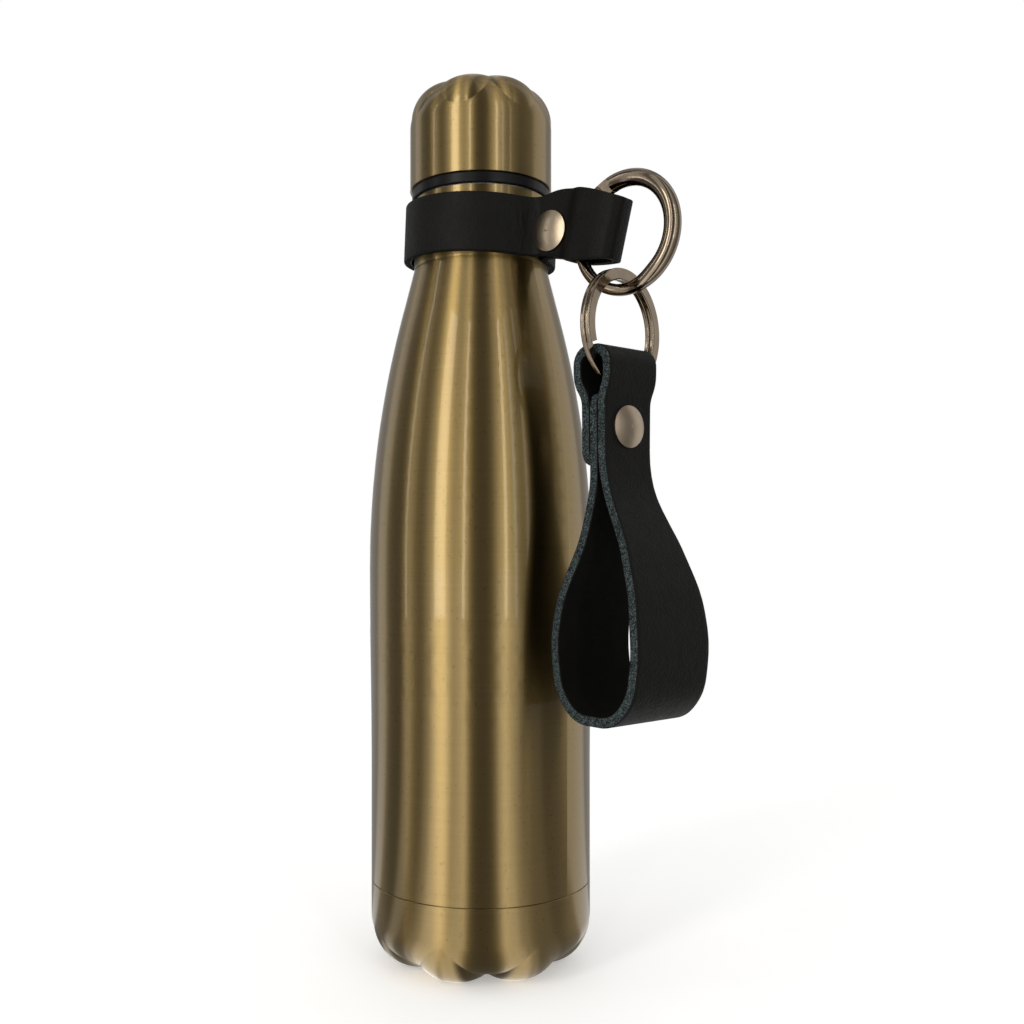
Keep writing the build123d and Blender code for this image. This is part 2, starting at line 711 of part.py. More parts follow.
def tapered_arc(start, end):
    """Wire of changing thickness along the ring from one angle to another."""
    steps = math.ceil((end - start) / RING_STEP)
    sections = [wire_section(start + (end - start) * step / steps) for step in range(steps + 1)]
    return loft(sections).translate((RING_X, 0, RING_Z))


def pivot_disc(radius, thickness):
    """Disc about the gate's pivot, its flat faces square to the pivot."""
    x, z = ring_point(GATE_PIVOT_ANGLE)
    return Cylinder(radius, thickness).rotate(Axis.X, 90).translate((x, 0, z))


def gate_reach():
    """Distance from the pivot to the face where the gate's tip meets the ring."""
    return math.dist(ring_point(GATE_PIVOT_ANGLE), ring_point(GATE_TIP_ANGLE))


WIRE_D = 2 * RING_WIRE_R
TONGUE_R = RING_WIRE_R - GATE_GAP
SLOT_R = RING_WIRE_R + GATE_GAP + SPRING_T / 2


def make_o_ring():
    body = even_arc(TAPER_END_ANGLE, 360 + GATE_PIVOT_ANGLE)
    catch = tapered_arc(GATE_TIP_ANGLE - GATE_LAP, TAPER_END_ANGLE)
    catch = catch - pivot_disc(gate_reach() + GATE_GAP, 2 * WIRE_D)
    ears = pivot_disc(RING_WIRE_R, WIRE_D - 2 * PIN_END_INSET)
    body = body + catch + ears
    body = body - pivot_disc(SLOT_R, TONGUE_T) - pivot_disc(PIN_R + PIN_FIT, 2 * WIRE_D)
    return place_collar(body)


def make_ring_gate():
    thin = TONGUE_T - 2 * TONGUE_GAP
    arm = even_arc(GATE_PIVOT_ANGLE + FORK_ANGLE, TAPER_START_ANGLE)
    arm = arm + tapered_arc(TAPER_START_ANGLE, GATE_TIP_ANGLE + GATE_LAP)
    arm = arm & pivot_disc(gate_reach() - GATE_GAP, 2 * WIRE_D)
    x, z = ring_point(GATE_PIVOT_ANGLE)
    slab = Box(4 * WIRE_D, thin, 4 * WIRE_D).translate((x, 0, z))
    neck = even_arc(GATE_PIVOT_ANGLE, GATE_PIVOT_ANGLE + 2 * FORK_ANGLE) & slab
    gate = arm + neck + pivot_disc(TONGUE_R, thin)
    return place_collar(gate - pivot_disc(PIN_R + PIN_FIT, 2 * WIRE_D))


def make_gate_pin():
    return place_collar(pivot_disc(PIN_R, WIRE_D - 2 * PIN_END_INSET))


def make_gate_spring():
    """Bent leaf in the bottom of the fork's slot, pressing on the heel of the tongue."""
    inner_r = TONGUE_R + SPRING_GAP
    section = Plane.XY * (Pos(inner_r + SPRING_T / 2, 0) * Rectangle(SPRING_T, SPRING_W))
    toward_body = GATE_PIVOT_ANGLE - 90
    leaf = revolve(section, Axis.Y, SPRING_SPAN).rotate(Axis.Y, -(toward_body + SPRING_SPAN / 2))
    x, z = ring_point(GATE_PIVOT_ANGLE)
    return place_collar(leaf.translate((x, 0, z)))


# Split ring, laid out round the X axis

def hang_height():
    """Height of the top of the gate ring's wire where the split ring rests."""
    across = HANG_X - RING_X
    wire_r = ring_wire_r(math.degrees(math.atan2(-RING_OUTER_R, across)))
    return RING_Z - math.sqrt((RING_OUTER_R - wire_r) ** 2 - across ** 2) + wire_r


SPLIT_MID_R = SPLIT_INNER_R + SPLIT_WIRE_W / 2
SPLIT_Z = hang_height() + SPLIT_REST_GAP - SPLIT_INNER_R


def split_section(across):
    """Rounded flat section of the ring's wire, shifted along the ring's axis."""
    return Plane.XY * (Pos(across, SPLIT_MID_R) * RectangleRounded(SPLIT_COIL_T, SPLIT_WIRE_W, SPLIT_EDGE_R))


def make_split_ring():
    side = (SPLIT_COIL_T + SPLIT_COIL_GAP) / 2
    start = SPLIT_CROSS_ANGLE - SPLIT_CROSS_SPAN / 2
    end = SPLIT_CROSS_ANGLE + SPLIT_CROSS_SPAN / 2
    sweep_angle = 360 - SPLIT_CROSS_SPAN
    first = revolve(split_section(-side), Axis.X, sweep_angle).rotate(Axis.X, end)
    second = revolve(split_section(side), Axis.X, sweep_angle).rotate(Axis.X, end)
    sections = []
    for step in range(SPLIT_CROSS_STEPS + 1):
        share = step / SPLIT_CROSS_STEPS
        eased = share * share * (3 - 2 * share)
        section = split_section(side * (2 * eased - 1))
        sections.append(section.rotate(Axis.X, start + share * SPLIT_CROSS_SPAN))
    crossing = loft(sections)
    coil = first + crossing + second
    return place_hanging(coil.translate((0, 0, SPLIT_Z)), SPLIT_YAW)


# Wrist loop, laid out in X and Z with its width along Y

LOOP_FRONT_X = LOOP_LEAN_X + (LOOP_T + LOOP_LAYER_GAP)
LOOP_MIDDLE_X = LOOP_LEAN_X
LOOP_FLAP_X = LOOP_LEAN_X - (LOOP_T + LOOP_LAYER_GAP)
LOOP_FACE_X = LOOP_FRONT_X + LOOP_T / 2
LOOP_STACK = LOOP_FRONT_X - LOOP_FLAP_X + LOOP_T


def loop_centre_line():
    """Corners of the strap's centre line: inner end, back, bottom, front, eye and flap."""
    half = (LOOP_DEPTH - LOOP_T) / 2
    drop = LOOP_WAIST_Z - LOOP_BOTTOM_Z - LOOP_T / 2
    side = [(across * half, LOOP_WAIST_Z - down * drop) for across, down in LOOP_SIDE_SHARES]
    back = [(LOOP_CREST_X - across, height) for across, height in side]
    front = [(LOOP_CREST_X + across, height) for across, height in reversed(side)]
    eye_half = (LOOP_EYE_W + LOOP_T) / 2
    eye_top = LOOP_TOP_Z - LOOP_T / 2
    shoulder = LOOP_RIVET_Z + RIVET_CAP_R + LOOP_SHOULDER_SHARE * LOOP_T
    eye_start = shoulder + LOOP_EYE_RISE_SHARE * LOOP_T
    return (
        [(LOOP_MIDDLE_X, LOOP_INNER_END_Z), (LOOP_MIDDLE_X, LOOP_WAIST_Z)]
        + back + front
        + [(LOOP_FRONT_X, LOOP_WAIST_Z), (LOOP_FRONT_X, shoulder),
           (LOOP_EYE_X + eye_half, eye_start), (LOOP_EYE_X + eye_half, eye_top),
           (LOOP_EYE_X - eye_half, eye_top), (LOOP_EYE_X - eye_half, eye_start),
           (LOOP_FLAP_X, shoulder), (LOOP_FLAP_X, LOOP_FLAP_Z)]
    )


def loop_outline():
    """Width of the strap from the bottom to the top, as seen on its face."""
    spread = LOOP_BOTTOM_W - LOOP_WAIST_W
    drop = LOOP_WAIST_Z - LOOP_BOTTOM_Z
    margin = LOOP_T
    right = [((LOOP_WAIST_W + spread * wide) / 2, LOOP_WAIST_Z - drop * down)
             for wide, down in LOOP_WIDTH_SHARES]
    right.insert(0, (LOOP_TOP_W / 2, LOOP_TOP_Z + margin))
    bottom = (LOOP_BOTTOM_W / 2, LOOP_BOTTOM_Z - margin)
    right.append(bottom)
    left = [(-across, height) for across, height in right]
    top_slope = (right[1][0] - right[0][0], right[1][1] - right[0][1])
    edges = [
        Spline(*right, tangents=[top_slope, (0, -1)]),
        Spline(*left, tangents=[(-top_slope[0], top_slope[1]), (0, -1)]),
        Line(right[0], left[0]),
        Line(right[-1], left[-1]),
    ]
    return extrude(Plane.YZ * make_face(edges), amount=2 * LOOP_DEPTH, both=True)


def make_wrist_strap():
    points = loop_centre_line()
    radii = [min(radius, LOOP_BEND_R) for radius in easy_radii(points, EASY_SHARE)]
    face = Plane.XZ * strap_face(points, radii, LOOP_T)
    strap = extrude(face, amount=LOOP_BOTTOM_W, both=True) & loop_outline()
    strap = strap.translate((0, LOOP_SHIFT, 0))
    hole = Cylinder(RIVET_POST_R + RIVET_HOLE_FIT, 2 * LOOP_STACK).rotate(Axis.Y, 90)
    hole = hole.translate((LOOP_MIDDLE_X, LOOP_SHIFT, LOOP_RIVET_Z))
    return place_hanging(strap - hole, LOOP_YAW)


def place_loop_rivet(solid):
    """Front of the loop: the rivet's cap faces outward along X."""
    placed = solid.rotate(Axis.Y, 90).translate((LOOP_FACE_X, LOOP_SHIFT, LOOP_RIVET_Z))
    return place_hanging(placed, LOOP_YAW)


NODES = {
    "outer_shell": make_outer_shell,
    "inner_flask": make_inner_flask,
    "vacuum_plate": make_vacuum_plate,
    "getter": make_getter,
    "base_cup": make_base_cup,
    "cap_shell": make_cap_shell,
    "cap_stopper": make_cap_stopper,
    "stopper_foam": make_stopper_foam,
    "stopper_disc": make_stopper_disc,
    "mouth_gasket": make_mouth_gasket,
    "collar_strap": make_collar_strap,
    "collar_rivet_cap": lambda: place_tab_rivet(rivet_cap_form()),
    "collar_rivet_post": lambda: place_tab_rivet(rivet_post_form(2 * TAB_FACE_Y)),
    "o_ring": make_o_ring,
    "ring_gate": make_ring_gate,
    "gate_pin": make_gate_pin,
    "gate_spring": make_gate_spring,
    "split_ring": make_split_ring,
    "wrist_strap": make_wrist_strap,
    "wrist_rivet_cap": lambda: place_loop_rivet(rivet_cap_form()),
    "wrist_rivet_post": lambda: place_loop_rivet(rivet_post_form(LOOP_STACK)),
}

for node_name, make_node in NODES.items():
    export_step(make_node(), "parts/" + node_name + ".step")
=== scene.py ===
# %% [markdown]
# # A gold insulated bottle with a leather holder
# The object is a slim double-wall metal bottle. A black leather collar is riveted round its neck, and from
# its folded end hang a nickel ring, a split ring and a leather wrist loop. The shapes of the hard parts come
# from the CAD model, which is loaded first and never moved. This script adds the leather straps and all the
# finishes, then the light, the floor and the camera.

# %% Load the CAD model
import math

import bpy
from mathutils import Matrix, Vector


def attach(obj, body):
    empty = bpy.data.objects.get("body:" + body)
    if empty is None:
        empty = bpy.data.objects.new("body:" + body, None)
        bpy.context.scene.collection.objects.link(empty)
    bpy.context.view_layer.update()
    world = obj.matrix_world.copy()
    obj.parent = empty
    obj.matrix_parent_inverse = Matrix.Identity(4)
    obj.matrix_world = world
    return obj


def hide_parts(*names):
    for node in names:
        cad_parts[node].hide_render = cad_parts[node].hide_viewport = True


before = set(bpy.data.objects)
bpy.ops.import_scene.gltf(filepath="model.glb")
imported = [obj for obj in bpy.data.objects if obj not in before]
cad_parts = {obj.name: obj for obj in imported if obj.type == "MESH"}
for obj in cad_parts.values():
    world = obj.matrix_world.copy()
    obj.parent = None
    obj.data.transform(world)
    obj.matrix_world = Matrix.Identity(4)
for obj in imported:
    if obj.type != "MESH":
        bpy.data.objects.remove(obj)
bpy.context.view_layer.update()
print("CAD nodes:", len(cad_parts))

MM = 0.001

# %% [markdown]
# ## Writing shader maths as Python
# A finish is easier to read as an expression than as a drawing of nodes. A small class wraps one socket, and
# its operators add Math nodes. A second class holds one node tree and adds any other node: it sets the node's
# options first, then the values or links of its inputs. A third one starts a material with it.

# %% Sockets that do arithmetic


class Value:
    """One output socket of a node tree, with + - * that add Math nodes."""

    def __init__(self, nodes, socket):
        self.nodes = nodes
        self.socket = socket

    def math(self, operation, first, second=0.0):
        return self.nodes.add("ShaderNodeMath", {"operation": operation}, {0: first, 1: second})

    def __add__(self, other):
        return self.math("ADD", self, other)

    def __sub__(self, other):
        return self.math("SUBTRACT", self, other)

    def __mul__(self, other):
        return self.math("MULTIPLY", self, other)

    def __rsub__(self, other):
        return self.math("SUBTRACT", other, self)

    __radd__ = __add__
    __rmul__ = __mul__

    def clamped(self):
        return self.math("MINIMUM", self.math("MAXIMUM", self, 0.0), 1.0)

    def larger(self, other):
        return self.math("MAXIMUM", self, other)


class Nodes:
    """A node tree that grows by expressions."""

    def __init__(self, tree):
        self.tree = tree

    def put(self, target, value):
        if isinstance(value, Value):
            self.tree.links.new(value.socket, target)
        else:
            target.default_value = value

    def add(self, kind, options=None, inputs=None, output=0):
        node = self.tree.nodes.new(kind)
        for option, value in (options or {}).items():
            setattr(node, option, value)
        for socket, value in (inputs or {}).items():
            self.put(node.inputs[socket], value)
        return Value(self, node.outputs[output])

    def vector(self, operation, first, second=(0, 0, 0), output="Vector"):
        return self.add("ShaderNodeVectorMath", {"operation": operation}, {0: first, 1: second}, output)

    def place(self, scale=(1, 1, 1), centre=(0, 0, 0)):
        """Object coordinates, moved to a centre and then scaled."""
        moved = self.vector("SUBTRACT", self.add("ShaderNodeTexCoord", output="Object"), centre)
        return self.vector("MULTIPLY", moved, scale)

    def noise(self, vector, scale, detail=3.0, roughness=0.55):
        return self.add("ShaderNodeTexNoise", None,
                        {"Vector": vector, "Scale": scale, "Detail": detail, "Roughness": roughness})

    def cells(self, vector, scale, feature="F1", smooth=0.6):
        inputs = {"Vector": vector, "Scale": scale}
        if feature == "SMOOTH_F1":
            inputs["Smoothness"] = smooth
        return self.add("ShaderNodeTexVoronoi", {"feature": feature}, inputs)

    def blend(self, share, first, second):
        """Colour between two colours, by a share from 0 to 1."""
        return self.add("ShaderNodeMix", {"data_type": "RGBA"}, {0: share, 6: first, 7: second}, output=2)

    def between(self, share, first, second):
        """Number between two numbers, by a share from 0 to 1."""
        return self.add("ShaderNodeMix", None, {0: share, 2: first, 3: second})

    def steps(self, value, low, high, start=0.0, end=1.0):
        """Number that goes from start at low to end at high, smoothly."""
        return self.add("ShaderNodeMapRange", {"interpolation_type": "SMOOTHSTEP"},
                        {"Value": value, "From Min": low, "From Max": high, "To Min": start, "To Max": end})

    def bump(self, height, distance, strength=1.0, under=None):
        inputs = {"Height": height, "Distance": distance, "Strength": strength}
        if under is not None:
            inputs["Normal"] = under
        return self.add("ShaderNodeBump", None, inputs)


class Finish(Nodes):
    """A new material with a Principled surface."""

    def __init__(self, name, **plain):
        self.material = bpy.data.materials.new(name)
        self.material.use_nodes = True
        super().__init__(self.material.node_tree)
        self.surface = self.tree.nodes["Principled BSDF"]
        for socket, value in plain.items():
            self.surface.inputs[socket.replace("_", " ")].default_value = value

    def feed(self, **links):
        for socket, value in links.items():
            self.put(self.surface.inputs[socket.replace("_", " ")], value)


def colour(red, green, blue):
    """Screen colour from 0 to 255, as the linear colour that a shader takes."""
    def linear(value):
        share = value / 255
        return share / 12.92 if share <= 0.04045 else ((share + 0.055) / 1.055) ** 2.4
    return (linear(red), linear(green), linear(blue), 1.0)


def paint(material, *names):
    """Give a finish to CAD nodes."""
    for name in names:
        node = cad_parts[name]
        node.data.materials.clear()
        node.data.materials.append(material)


# %% [markdown]
# ## Brushed gold under clear lacquer
# The outer wall, the foot cup and the cap are steel, brushed round and round while they spin, then coated
# with a clear gold lacquer. The brush lines are hair-fine rings, so they scatter a reflection up and down but
# hardly sideways, and each lamp becomes a long upright streak. Modelling every line would take millions of
# faces, so the shader's anisotropy does it, and a fine noise squeezed in height gives the lines that the eye
# can still tell apart. The weak clear coat adds a thin sharp line in the middle of each streak.

# %% Brushed gold
# How much each pattern is squeezed along x, y and z: the lines run round, so z is squeezed most
HAIR_LINES, STRAND_LINES, CLOUD_SHAPE = (60, 60, 5200), (22, 22, 1500), (1, 1, 0.45)


def brushed_gold():
    finish = Finish("brushed_gold", Metallic=1.0, Anisotropic=1.0, Anisotropic_Rotation=0.25,
                    Coat_Roughness=0.04, Coat_IOR=1.5)
    hair = finish.noise(finish.place(HAIR_LINES), 1.0, 4.0, 0.7)
    strand = finish.noise(finish.place(STRAND_LINES), 1.0, 2.0, 0.6)
    cloud = finish.noise(finish.place(CLOUD_SHAPE), 26.0, 3.0, 0.5)
    speck = finish.steps(finish.noise(finish.place(), 900.0, 1.0), 0.66, 0.72)
    tone = (hair * 0.6 + strand * 0.4 - 0.5) * 1.1 + 0.5
    metal = finish.blend(tone.clamped(), colour(119, 99, 58), colour(138, 117, 71))
    metal = finish.blend((cloud - 0.42).clamped() * 0.9, metal, colour(119, 97, 54))
    metal = finish.blend(speck * 0.25, metal, colour(76, 62, 38))
    finish.feed(
        Base_Color=metal,
        Roughness=0.32 + hair * 0.05 + cloud * 0.04,
        Coat_Weight=0.35 + cloud * 0.2,
        Normal=finish.bump(hair * 0.7 + strand * 0.5, 0.00002, 0.4),
    )
    return finish.material


paint(brushed_gold(), "outer_shell", "base_cup", "cap_shell")

# %% [markdown]
# ## Plain steel inside, black plastic and silicone
# The inner flask is bare steel with a coarser polish. The stopper is moulded black plastic: its surface has
# the faint pebble of a spark-eroded mould. The foam in it and the seal are matt, and only show when the cap
# is off or cut open.

# %% The other hard finishes
def flask_steel():
    finish = Finish("flask_steel", Metallic=1.0, Anisotropic=0.4)
    ring = finish.noise(finish.place((30, 30, 2600)), 1.0, 3.0)
    stain = finish.noise(finish.place(), 40.0, 3.0)
    steel = finish.blend(ring, colour(150, 149, 146), colour(186, 185, 182))
    finish.feed(
        Base_Color=finish.blend(stain * 0.35, steel, colour(148, 142, 132)),
        Roughness=0.26 + ring * 0.14,
        Normal=finish.bump(ring, 0.00003, 0.5),
    )
    return finish.material


def black_plastic():
    finish = Finish("black_plastic", Specular_IOR_Level=0.12)
    pebble = finish.noise(finish.place(), 3200.0, 2.0)
    wear = finish.noise(finish.place(), 180.0, 3.0)
    finish.feed(
        Base_Color=finish.blend(wear, colour(9, 9, 10), colour(20, 19, 19)),
        Roughness=0.22 + wear * 0.16,
        Normal=finish.bump(pebble, 0.00002, 0.4),
    )
    return finish.material


def foam_fill():
    finish = Finish("foam_fill", Roughness=0.95, Specular_IOR_Level=0.2)
    bubbles = finish.cells(finish.place(), 1400.0)
    finish.feed(
        Base_Color=finish.blend(bubbles, colour(216, 205, 170), colour(188, 174, 136)),
        Normal=finish.bump(bubbles, 0.0002, 0.7),
    )
    return finish.material


def seal_silicone():
    finish = Finish("seal_silicone", Specular_IOR_Level=0.35, Subsurface_Weight=0.1)
    dust = finish.noise(finish.place(), 700.0, 3.0)
    finish.feed(
        Base_Color=finish.blend(dust, colour(206, 205, 200), colour(184, 183, 178)),
        Roughness=0.5 + dust * 0.2,
        Normal=finish.bump(dust, 0.00003, 0.4),
    )
    return finish.material


paint(flask_steel(), "inner_flask", "vacuum_plate", "getter")
paint(black_plastic(), "cap_stopper", "stopper_disc")
paint(foam_fill(), "stopper_foam")
paint(seal_silicone(), "mouth_gasket")

# %% [markdown]
# ## Nickel rings and rivets
# The rings and rivets are nickel with a warm, slightly brown tone. The rings are deeper and polished, the
# rivets paler and more satin. Real hardware of this kind is tumbled, so it carries soft waves and hair
# scratches that break up its reflections. Waves go in the bump, scratches in the roughness.

# %% Nickel
def nickel(name, deep, light, blur):
    finish = Finish(name, Metallic=1.0)
    wave = finish.noise(finish.place(), 240.0, 2.0)
    scratch = finish.noise(finish.place((1, 0.15, 1)), 5200.0, 2.0, 0.7)
    finish.feed(
        Base_Color=finish.blend(wave, deep, light),
        Roughness=blur + scratch * 0.08,
        Normal=finish.bump(wave * 0.8 + scratch * 0.05, 0.00012, 0.5),
    )
    return finish.material


paint(nickel("ring_nickel", colour(108, 95, 81), colour(142, 129, 112), 0.07),
      "o_ring", "ring_gate", "gate_pin", "gate_spring", "split_ring")
paint(nickel("rivet_nickel", colour(140, 126, 108), colour(170, 154, 133), 0.27),
      "collar_rivet_cap", "collar_rivet_post", "wrist_rivet_cap", "wrist_rivet_post")

# %% [markdown]
# ## Three finishes of one leather
# A leather strap shows three surfaces. The grain side is dyed black and satin, with a fine pebble and long
# soft wrinkles. The flesh side is duller and fuzzy. The cut edge is raw: fibres stand out of it, and it is
# lighter and greener than the face on the loop. The collar's edge is rubbed smooth and stays dark. Where the
# collar leaves the neck, the pull of the rivet creases the grain.

# %% Leather
RIVET_CENTRE = (29.9 * MM, -3.6 * MM, 217.3 * MM)
CREASE_CENTRE = (24.5 * MM, -6 * MM, 219.3 * MM)
CREASE_FULL_R, CREASE_END_R = 3 * MM, 11 * MM


def leather_grain():
    finish = Finish("leather_grain", Specular_IOR_Level=0.09)
    warp = finish.noise(finish.place(), 300.0, 2.0)
    pebble = finish.cells(finish.place(), 1500.0, "SMOOTH_F1", 0.5)
    fold = finish.noise(finish.place(), 130.0, 4.0, 0.6)
    crease = finish.noise(finish.place((260, 200, 60), RIVET_CENTRE), 1.0, 3.0, 0.65)
    away = finish.vector("LENGTH", finish.place(centre=CREASE_CENTRE), output="Value")
    near = 1 - finish.steps(away, CREASE_FULL_R, CREASE_END_R)
    finish.feed(
        Base_Color=finish.blend(fold, colour(7, 7, 6), colour(19, 18, 16)),
        Roughness=0.36 + warp * 0.16 + pebble * 0.12,
        Normal=finish.bump(
            pebble * 0.6 + fold * 0.8 + warp * 0.4, 0.0002, 0.7,
            finish.bump(crease * near, 0.0012, 0.7)),
    )
    return finish.material


def leather_flesh():
    finish = Finish("leather_flesh", Specular_IOR_Level=0.04)
    fuzz = finish.noise(finish.place(), 1800.0, 4.0, 0.7)
    patch = finish.noise(finish.place(), 160.0, 3.0)
    finish.feed(
        Base_Color=finish.blend(patch, colour(7, 7, 7), colour(19, 18, 16)),
        Roughness=0.72 + fuzz * 0.2,
        Normal=finish.bump(fuzz, 0.0002, 0.6),
    )
    return finish.material


def leather_edge(name, dark, pale_fibre):
    finish = Finish(name, Specular_IOR_Level=0.06)
    fibre = finish.noise(finish.place(), 2600.0, 4.0, 0.75)
    clump = finish.noise(finish.place(), 620.0, 3.0, 0.6)
    pale = finish.steps(fibre, 0.46, 0.62) * 0.75 + (clump - 0.4) * 0.6
    finish.feed(
        Base_Color=finish.blend(pale.clamped(), dark, pale_fibre),
        Roughness=0.85 + fibre * 0.1,
        Normal=finish.bump(fibre * 0.7 + clump * 0.5, 0.0005, 0.9),
    )
    return finish.material


GRAIN, FLESH = leather_grain(), leather_flesh()
RAW_EDGE = leather_edge("leather_raw_edge", colour(14, 18, 19), colour(90, 101, 102))
RUBBED_EDGE = leather_edge("leather_rubbed_edge", colour(9, 10, 10), colour(38, 42, 42))

# %% [markdown]
# ## Straps along a bent line
# Both straps are one even thickness of leather bent along a line. A flat grid is added, and its points are
# laid along the line: one direction follows it, the other runs across the strap. Solidify then gives the
# leather its thickness, with the flesh side and the cut edge as materials of their own. A small bevel takes
# the sharpness off the cut edges and is as black as the grain, so a dark line shows between layers that lie
# together. A line with rounded corners is worked out here from its corners.

# %% Helpers for the straps
CORNER_SHARE = 0.45
GRAIN_SLOT, FLESH_SLOT, EDGE_SLOT = 0, 1, 2
CUT_ANGLE, SHADE_ANGLE = math.radians(50), math.radians(40)


def rounded(points, largest):
    """Points along a bent line whose corners are rounded as far as the runs beside them allow."""
    line = [Vector(points[0])]
    for before, here, after in zip(points, points[1:], points[2:]):
        here = Vector(here)
        back, on = Vector(before) - here, Vector(after) - here
        turn = math.pi - back.angle(on)
        if turn < 0.01:
            continue
        reach = min(CORNER_SHARE * min(back.length, on.length), largest * math.tan(turn / 2))
        start, end = here + back.normalized() * reach, here + on.normalized() * reach
        inward = (back.normalized() + on.normalized()).normalized()
        centre = here + inward * (reach / math.sin(turn / 2))
        count = max(3, math.ceil(math.degrees(turn) / 6))
        first, last = start - centre, end - centre
        for step in range(count + 1):
            part = step / count
            arm = (first * math.sin((1 - part) * turn) + last * math.sin(part * turn)) / math.sin(turn)
            line.append(centre + arm)
    line.append(Vector(points[-1]))
    return line


def evenly(line, spacing):
    """The same line as points at an even spacing."""
    lengths = [0.0]
    for first, second in zip(line, line[1:]):
        lengths.append(lengths[-1] + (second - first).length)
    count = max(2, round(lengths[-1] / spacing))
    result, at = [], 0
    for step in range(count + 1):
        want = lengths[-1] * step / count
        while at < len(line) - 2 and lengths[at + 1] < want:
            at += 1
        span = max(lengths[at + 1] - lengths[at], 1e-9)
        result.append(line[at].lerp(line[at + 1], min(1.0, (want - lengths[at]) / span)))
    return result


def select_only(piece):
    bpy.ops.object.select_all(action="DESELECT")
    piece.select_set(True)
    bpy.context.view_layer.objects.active = piece


def end_pull(over, corner_r, from_end):
    """How far a point near a strap's end moves back so that the end's corners are round."""
    pull = corner_r - math.sqrt(max(corner_r ** 2 - over ** 2, 0.0))
    return pull * max(0.0, 1 - from_end / (3 * corner_r))


def strap(name, line, across, half_width, place_point, corner_r, thickness, bevel, edge, flip):
    """Leather strap: a grid laid along a line, thickened, bevelled and smoothed."""
    bpy.ops.mesh.primitive_grid_add(x_subdivisions=len(line) - 1, y_subdivisions=across, size=2)
    piece = bpy.context.object
    piece.name = name
    select_only(piece)
    last = len(line) - 1
    spacing = (line[1] - line[0]).length
    for vertex in piece.data.vertices:
        step = round((vertex.co.x + 1) / 2 * last)
        side = vertex.co.y
        wide = half_width(line[step])
        over = max(0.0, abs(side) * wide - wide + corner_r)
        pull = end_pull(over, corner_r, min(step, last - step) * spacing) / spacing
        index = step + pull if step < last / 2 else step - pull
        low = min(int(index), last - 1)
        point = line[low].lerp(line[low + 1], index - low)
        vertex.co = place_point(point, side * half_width(point))
    for material in (GRAIN, FLESH, edge):
        piece.data.materials.append(material)
    if flip:
        bpy.ops.object.mode_set(mode="EDIT")
        bpy.ops.mesh.select_all(action="SELECT")
        bpy.ops.mesh.flip_normals()
        bpy.ops.object.mode_set(mode="OBJECT")
    thicken = piece.modifiers.new("thickness", "SOLIDIFY")
    thicken.thickness = thickness
    thicken.offset = 0
    thicken.use_even_offset = True
    thicken.material_offset = FLESH_SLOT
    thicken.material_offset_rim = EDGE_SLOT
    soften = piece.modifiers.new("soft_edges", "BEVEL")
    soften.width = bevel
    soften.segments = 2
    soften.limit_method = "ANGLE"
    soften.angle_limit = CUT_ANGLE
    soften.material = GRAIN_SLOT
    for modifier in ("thickness", "soft_edges"):
        bpy.ops.object.modifier_apply(modifier=modifier)
    bpy.ops.object.shade_smooth_by_angle(angle=SHADE_ANGLE)
    widest = 2 * max(half_width(point) for point in line)
    print(name, "faces:", len(piece.data.polygons), "flat size in mm:",
          round(last * spacing, 1), "x", round(widest, 1))
    return piece


# %% [markdown]
# ## The collar
# The collar is one strap. It starts in a short end behind the tab, goes once round the neck, comes back along
# the front, turns round the ring's wire in a fold and ends between the two outer layers, where the rivet goes
# through all three. Under the weight that hangs in it, the fold droops. The line is drawn in plan, in
# millimetres, and the droop turns each point about the rivet's side.

# %% Collar strap
LEATHER_T = 2.3
COLLAR_W, TAB_SWELL = 16.8, 1.6
COLLAR_MID_R = 22.25
COLLAR_CENTRE_X = -0.2
COLLAR_MID_Z = 219.3
LEAVE_ANGLE = 24.5
LAYER_Y = 2.4
POCKET_Y = 3.95
BACK_END_X, INNER_END_X, TAB_END_X = 33.0, 26.5, 52.8
FRONT_OPENS_X, FRONT_OPEN_X = 36.0, 38.6
INNER_LEAVES_X, INNER_MEETS_X = 37.75, 33.8
FOLD_RUN, FOLD_Y = 4.4, 3.18
FOLD_CORNER_R, COLLAR_STEP = 4.6, 0.9
DROOP_X, DROOP_Z, DROOP = 32.0, 217.0, 14.4
DROOP_FROM_X, DROOP_FULL_X = 29.0, 35.0
COLLAR_TILT = 3.2
TAB_RIVET_X, TAB_RIVET_Z = 29.9, 217.2
PRESS_DEPTH, PRESS_R, PRESS_END_R = 0.25, 5.5, 9.5
FRONT_LAYER = (1.2, 2.2)


def smooth_share(value, low, high):
    share = min(max((value - low) / (high - low), 0.0), 1.0)
    return share * share * (3 - 2 * share)


